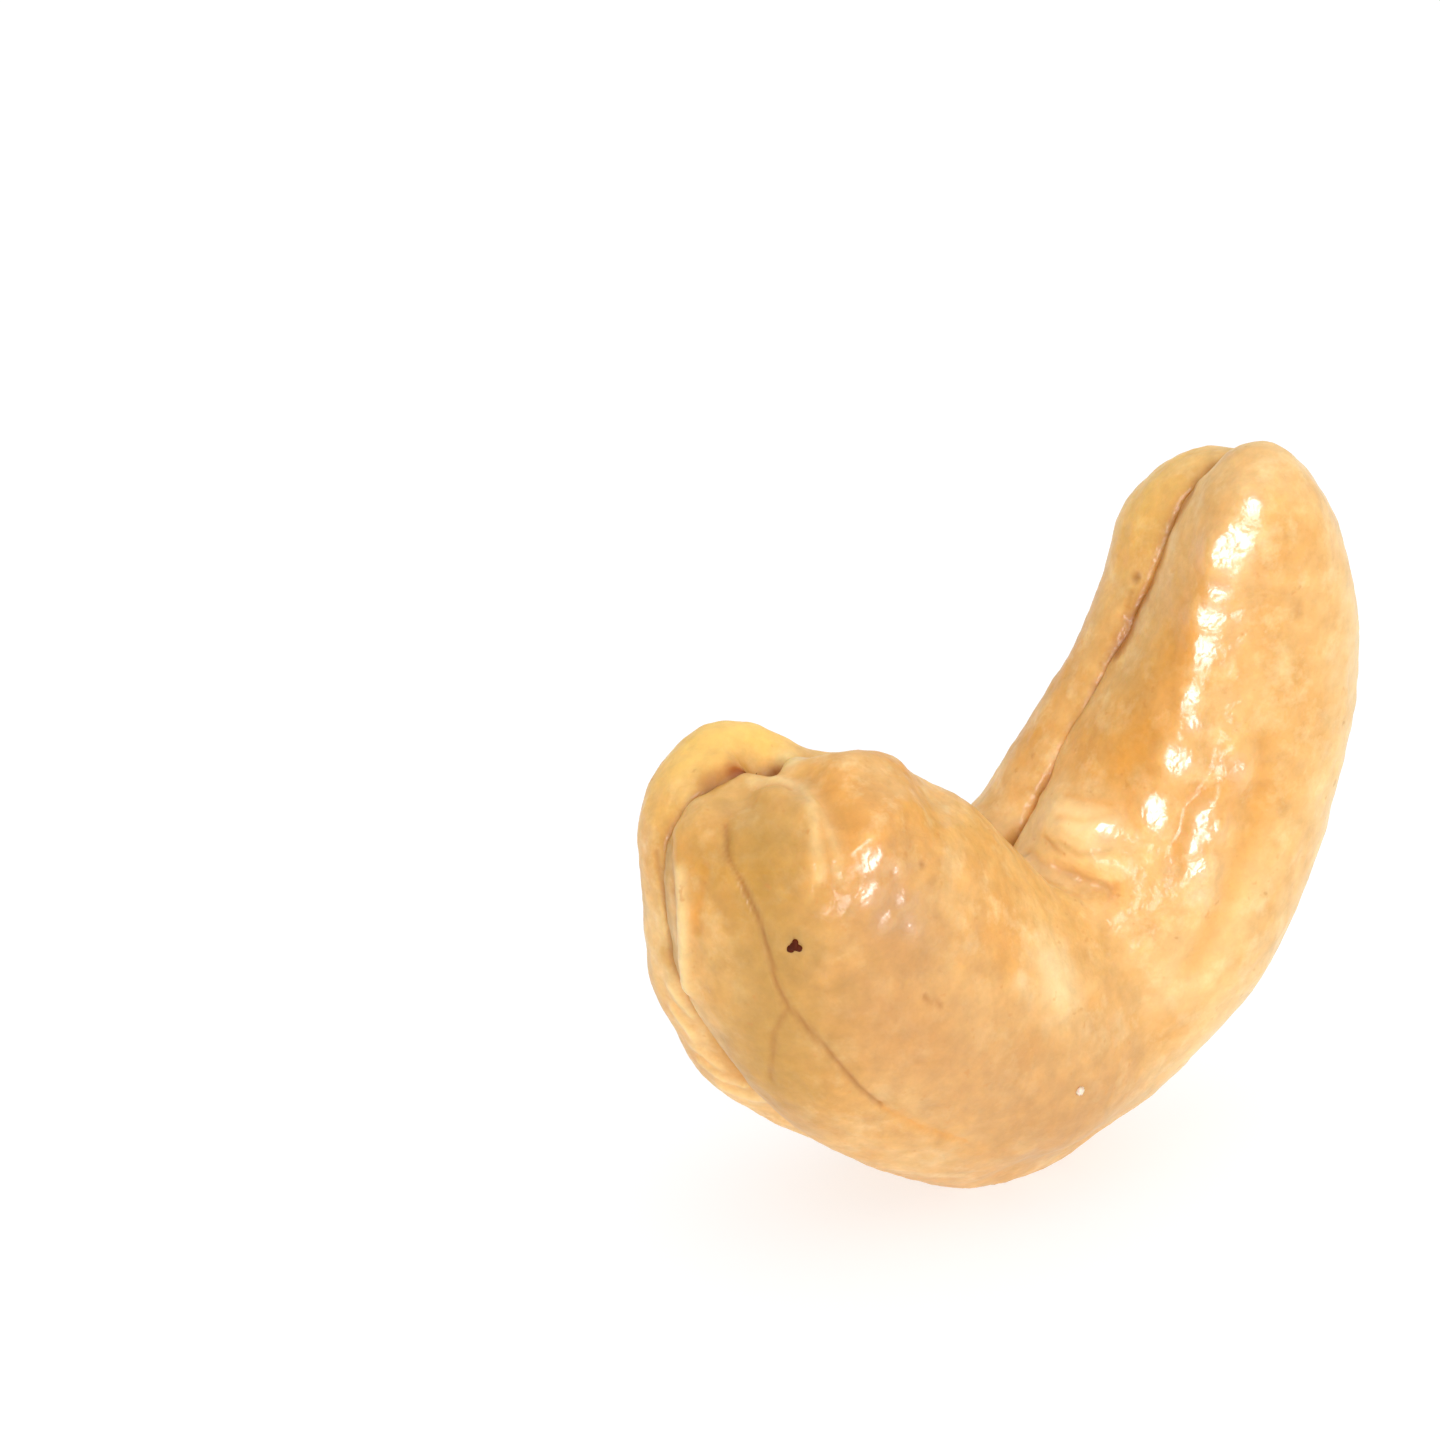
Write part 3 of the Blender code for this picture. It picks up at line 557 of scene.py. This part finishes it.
def roastedFlesh():
    material = bpy.data.materials.new("roastedFlesh")
    make = nodeMaker(material)
    where = make("ShaderNodeTexCoord").outputs["Object"]

    def noiseAt(scale, detail, roughness, low, high, toLow=0.0, toHigh=1.0, distortion=0.0):
        field = make("ShaderNodeTexNoise", {"Vector": where, "Scale": scale, "Detail": detail,
                                            "Roughness": roughness, "Distortion": distortion})
        return make("ShaderNodeMapRange", {"Value": field.outputs["Fac"], "From Min": low, "From Max": high,
                                           "To Min": toLow, "To Max": toHigh}).outputs[0]

    patches = noiseAt(**fleshNoise["patches"])
    colour = mixColour(make, patches, fleshColours["base"], fleshColours["baseLight"])
    for paint in ("blush", "blotches"):
        amount = noiseAt(**fleshNoise[paint])
        colour = mixColour(make, amount, colour, fleshColours[paint])
    for tone, paint in fleshTones.items():
        amount = make("ShaderNodeAttribute", attribute_name=tone).outputs["Fac"]
        colour = mixColour(make, amount, colour, paint)
    flecks = noiseAt(**fleshNoise["flecks"])
    colour = mixColour(make, flecks, colour, fleshColours["flecks"])
    grain = noiseAt(**fleshNoise["grain"])
    colour = mixColour(make, 1.0, colour, grain, "MULTIPLY")

    bends = make("ShaderNodeTexNoise", {"Vector": where, "Scale": fleshCreases["bends"]})
    shift = make("ShaderNodeVectorMath", {0: bends.outputs["Color"], "Scale": fleshCreases["bendBy"]},
                 operation="SCALE")
    bent = make("ShaderNodeVectorMath", {0: where, 1: shift.outputs[0]}, operation="ADD")
    cells = make("ShaderNodeTexVoronoi", {"Vector": bent.outputs[0], "Scale": fleshCreases["cells"]},
                 feature="DISTANCE_TO_EDGE")
    crease = make("ShaderNodeMapRange", {"Value": cells.outputs["Distance"], "From Min": 0.0,
                                         "From Max": fleshCreases["width"], "To Min": 1.0, "To Max": 0.0})
    here = noiseAt(**fleshNoise["creasedPlaces"])
    creases = make("ShaderNodeMath", {0: crease.outputs[0], 1: here}, operation="MULTIPLY").outputs[0]
    creaseShade = make("ShaderNodeMapRange", {"Value": creases, "To Min": 1.0,
                                              "To Max": fleshCreases["shade"]})
    colour = mixColour(make, 1.0, colour, creaseShade.outputs[0], "MULTIPLY")

    fineSkin = noiseAt(**fleshNoise["fineSkin"])
    skin = make("ShaderNodeMath", {0: creases, 1: fleshCreases["deep"], 2: fineSkin},
                operation="MULTIPLY_ADD")
    oilWaves = noiseAt(**fleshNoise["oilWaves"])
    bump = make("ShaderNodeBump", {**fleshFinish["skinBump"], "Height": skin.outputs[0]})
    oilBump = make("ShaderNodeBump", {**fleshFinish["oilBump"], "Height": oilWaves})
    oilTone = make("ShaderNodeAttribute", attribute_name="oilTone").outputs["Fac"]
    oil = make("ShaderNodeMapRange", {"Value": oilTone, "To Min": oilyKnots["oilElsewhere"], "To Max": 1.0})
    shader = make("ShaderNodeBsdfPrincipled", {
        "Base Color": colour,
        "Roughness": fleshFinish["roughness"],
        "IOR": fleshFinish["bending"],
        "Specular IOR Level": fleshFinish["specular"],
        "Subsurface Weight": fleshFinish["glowThrough"],
        "Subsurface Radius": fleshFinish["glowColours"],
        "Subsurface Scale": fleshFinish["glowReach"],
        "Coat Weight": oil.outputs[0],
        "Coat Roughness": fleshFinish["oilRoughness"],
        "Coat IOR": fleshFinish["oilBending"],
        "Normal": bump.outputs["Normal"],
        "Coat Normal": oilBump.outputs["Normal"],
    })
    make("ShaderNodeOutputMaterial", {"Surface": shader.outputs[0]})
    return material


# The kernel
rings, tones = shapeKernel(kernelForm)
kernel = addObject("roastedKernel", ringMesh("roastedKernel", rings, tones))
kernel.data.materials.append(roastedFlesh())
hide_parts("kernel")
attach(kernel, "root")
print("kernel shaped:", len(kernel.data.polygons), "faces")

# A charred speck on the near half, and grains of salt
speck = {
    "at": (-9.3, -4.3, 10.5),
    # across, up, radius
    "lobes": ((0.0, 0.0, 0.14), (-0.13, -0.10, 0.11), (0.11, -0.05, 0.11), (0.01, 0.14, 0.09)),
    "subdivisions": 3,
    "crumbly": 0.25,  # how much bigger or smaller a lobe gets in places
    "crumbs": 9,  # to the millimetre
    "unlike": 20,  # how far apart the lobes' crumbs are taken
    "flatness": 0.6,
    "lift": 0.2,  # of the radius
    "colour": (0.08, 0.012, 0.002, 1),
    "crust": {"Scale": 6000.0, "Detail": 3.0},
    "crustShade": (0.6, 1.6),
    "roughness": 0.5,
    "specular": 0.1,
    "bump": 0.00003,
}
salt = {
    "at": ((-0.1, -5.3, 4.2), (9.4, 3.0, 9.5), (4.0, 4.6, 5.0), (-6.0, 4.6, 8.5)),
    "side": 0.24,
    "sides": (0.75, 1.1),  # times the side, least and most
    "rounding": 0.05,
    "roundingSteps": 2,
    "seed": 7,
    "cloud": {"Scale": 5000.0, "Detail": 2.0},
    "clear": (0.98, 0.80, 0.68, 1),
    "clouded": (0.90, 0.62, 0.45, 1),
    "roughness": 0.25,
    "bending": 1.54,
    "glowThrough": 0.6,
    "glowReach": 0.0003,
}


def restingOn(place):  # the nearest place on the kernel, and which way is out and sideways there
    flat, outward = rings.reshape(-1, 3), outwardOf(rings).reshape(-1, 3)
    nearest = np.argmin(((flat - np.array(place)) ** 2).sum(1))
    out = Vector(outward[nearest])
    aside = Vector((0, 0, 1)).cross(out).normalized()
    return Vector(flat[nearest]), Matrix((aside, out.cross(aside), out)).transposed()


def addPiece(name, shape, material):
    data = bpy.data.meshes.new(name)
    bmesh.ops.scale(shape, vec=(mm, mm, mm), verts=shape.verts)
    shape.to_mesh(data)
    shape.free()
    data.shade_smooth()
    data.materials.append(material)
    piece = addObject(name, data)
    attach(piece, "root")
    return piece


def charredCrumb():
    shape = bmesh.new()
    place, turn = restingOn(speck["at"])
    for across, up, radius in speck["lobes"]:
        lobe = bmesh.ops.create_icosphere(shape, subdivisions=speck["subdivisions"], radius=radius)["verts"]
        apart = Vector((across, up, 0)) * speck["unlike"]
        for vert in lobe:
            vert.co *= 1 + speck["crumbly"] * noise.noise(vert.co * speck["crumbs"] + apart)
            vert.co.z *= speck["flatness"]
            vert.co = place + turn @ (vert.co + Vector((across, up, radius * speck["lift"])))
    return shape


def saltGrains():
    shape = bmesh.new()
    dice = np.random.default_rng(salt["seed"])
    for at in salt["at"]:
        place, turn = restingOn(at)
        grain = bmesh.new()
        bmesh.ops.create_cube(grain, size=salt["side"])
        bmesh.ops.bevel(grain, geom=grain.edges[:], offset=salt["rounding"], segments=salt["roundingSteps"],
                        affect="EDGES")
        bmesh.ops.scale(grain, vec=dice.uniform(*salt["sides"], 3), verts=grain.verts)
        tilt = Euler(dice.uniform(0, math.pi, 3)).to_matrix()
        lying = Matrix.Translation(place) @ (turn @ tilt).to_4x4()
        bmesh.ops.transform(grain, matrix=lying, verts=grain.verts)
        part = bpy.data.meshes.new("grain")
        grain.to_mesh(part)
        grain.free()
        shape.from_mesh(part)
        bpy.data.meshes.remove(part)
    return shape


def charredMaterial():
    material = bpy.data.materials.new("charredCrumb")
    make = nodeMaker(material)
    where = make("ShaderNodeTexCoord").outputs["Object"]
    crust = make("ShaderNodeTexNoise", {**speck["crust"], "Vector": where}).outputs["Fac"]
    darkest, lightest = speck["crustShade"]
    tint = make("ShaderNodeMapRange", {"Value": crust, "To Min": darkest, "To Max": lightest})
    colour = mixColour(make, 1.0, speck["colour"], tint.outputs[0], "MULTIPLY")
    bump = make("ShaderNodeBump", {"Distance": speck["bump"], "Height": crust})
    shader = make("ShaderNodeBsdfPrincipled", {
        "Base Color": colour,
        "Roughness": speck["roughness"],
        "Specular IOR Level": speck["specular"],
        "Normal": bump.outputs["Normal"],
    })
    make("ShaderNodeOutputMaterial", {"Surface": shader.outputs[0]})
    return material


def saltMaterial():
    material = bpy.data.materials.new("saltCrystal")
    make = nodeMaker(material)
    where = make("ShaderNodeTexCoord").outputs["Object"]
    cloud = make("ShaderNodeTexNoise", {**salt["cloud"], "Vector": where}).outputs["Fac"]
    shader = make("ShaderNodeBsdfPrincipled", {
        "Base Color": mixColour(make, cloud, salt["clear"], salt["clouded"]),
        "Roughness": salt["roughness"],
        "IOR": salt["bending"],
        "Subsurface Weight": salt["glowThrough"],
        "Subsurface Scale": salt["glowReach"],
    })
    make("ShaderNodeOutputMaterial", {"Surface": shader.outputs[0]})
    return material


addPiece("charredSpeck", charredCrumb(), charredMaterial())
addPiece("saltGrains", saltGrains(), saltMaterial())
print("speck and salt laid on")

# Table, light and camera
tableTop = {
    "half": 0.6,
    "colour": (0.36, 0.37, 0.38, 1),
    "roughness": 0.7,
    "glow": (1, 0.99, 0.99, 1),
    "glowStrength": 0.66,
}


def whiteTable():
    material = bpy.data.materials.new("whiteTable")
    make = nodeMaker(material)
    shader = make("ShaderNodeBsdfPrincipled", {
        "Base Color": tableTop["colour"],
        "Roughness": tableTop["roughness"],
        "Emission Color": tableTop["glow"],
        "Emission Strength": tableTop["glowStrength"],
    })
    make("ShaderNodeOutputMaterial", {"Surface": shader.outputs[0]})
    return material


reach = tableTop["half"]
corners = [(-reach, -reach, 0), (reach, -reach, 0), (reach, reach, 0), (-reach, reach, 0)]
tableData = bpy.data.meshes.new("table")
tableData.from_pydata(corners, [], [(0, 1, 2, 3)])
table = addObject("table", tableData)
tableData.materials.append(whiteTable())

world = bpy.data.worlds.new("whiteRoom")
bpy.context.scene.world = world
makeSky = nodeMaker(world)
skySide = makeSky("ShaderNodeSeparateXYZ", {"Vector": makeSky("ShaderNodeTexCoord").outputs["Generated"]})
skyLight = makeSky("ShaderNodeMapRange", {"Value": skySide.outputs["X"], "From Min": -1.0, "From Max": 1.0,
                                          "To Min": studio["skyDim"], "To Max": studio["skyBright"]})
skyAbove = makeSky("ShaderNodeMapRange", {"Value": skySide.outputs["Z"], "From Min": 0.0, "From Max": 1.0,
                                          "To Min": 0.0, "To Max": studio["skyTop"]})
skySum = makeSky("ShaderNodeMath", {0: skyLight.outputs[0], 1: skyAbove.outputs[0]}, operation="ADD")
sky = makeSky("ShaderNodeBackground", {"Color": (*studio["skyWhite"], 1), "Strength": skySum.outputs[0]})
makeSky("ShaderNodeOutputWorld", {"Surface": sky.outputs[0]})
for name, (azimuth, elevation, distance, width, height, watts, colour) in studio["lamps"].items():
    lamp = bpy.data.lights.new(name, "AREA")
    lamp.shape = "RECTANGLE"
    lamp.size = width
    lamp.size_y = height
    lamp.energy = watts
    lamp.color = colour
    holder = addObject(name, lamp)
    holder.location = Vector(studio["lampAim"]) + towards(azimuth, elevation) * distance
    holder.rotation_euler = (-towards(azimuth, elevation)).to_track_quat("-Z", "Y").to_euler()
bpy.context.scene.view_settings.view_transform = "Standard"
print("table and light set")

back = towards(photoCamera["azimuth"], photoCamera["elevation"])
right = Vector((0, 0, 1)).cross(back).normalized()
up = back.cross(right)
scale, distance = photoCamera["pixelsPerMetre"], photoCamera["distance"]
eye = (back * distance - right * (photoCamera["originAt"][0] - photoCamera["frameWide"] / 2) / scale
       + up * (photoCamera["originAt"][1] - photoCamera["frameHigh"] / 2) / scale)
lens = bpy.data.cameras.new("photoCamera")
lens.sensor_width = photoCamera["sensor"]
lens.lens = scale * distance * photoCamera["sensor"] / photoCamera["frameHigh"]
lens.clip_start = photoCamera["clipStart"]
camera = addObject("photoCamera", lens)
camera.matrix_world = Matrix.Translation(eye) @ Matrix((right, up, back)).transposed().to_4x4()
bpy.context.scene.camera = camera
print("camera set")
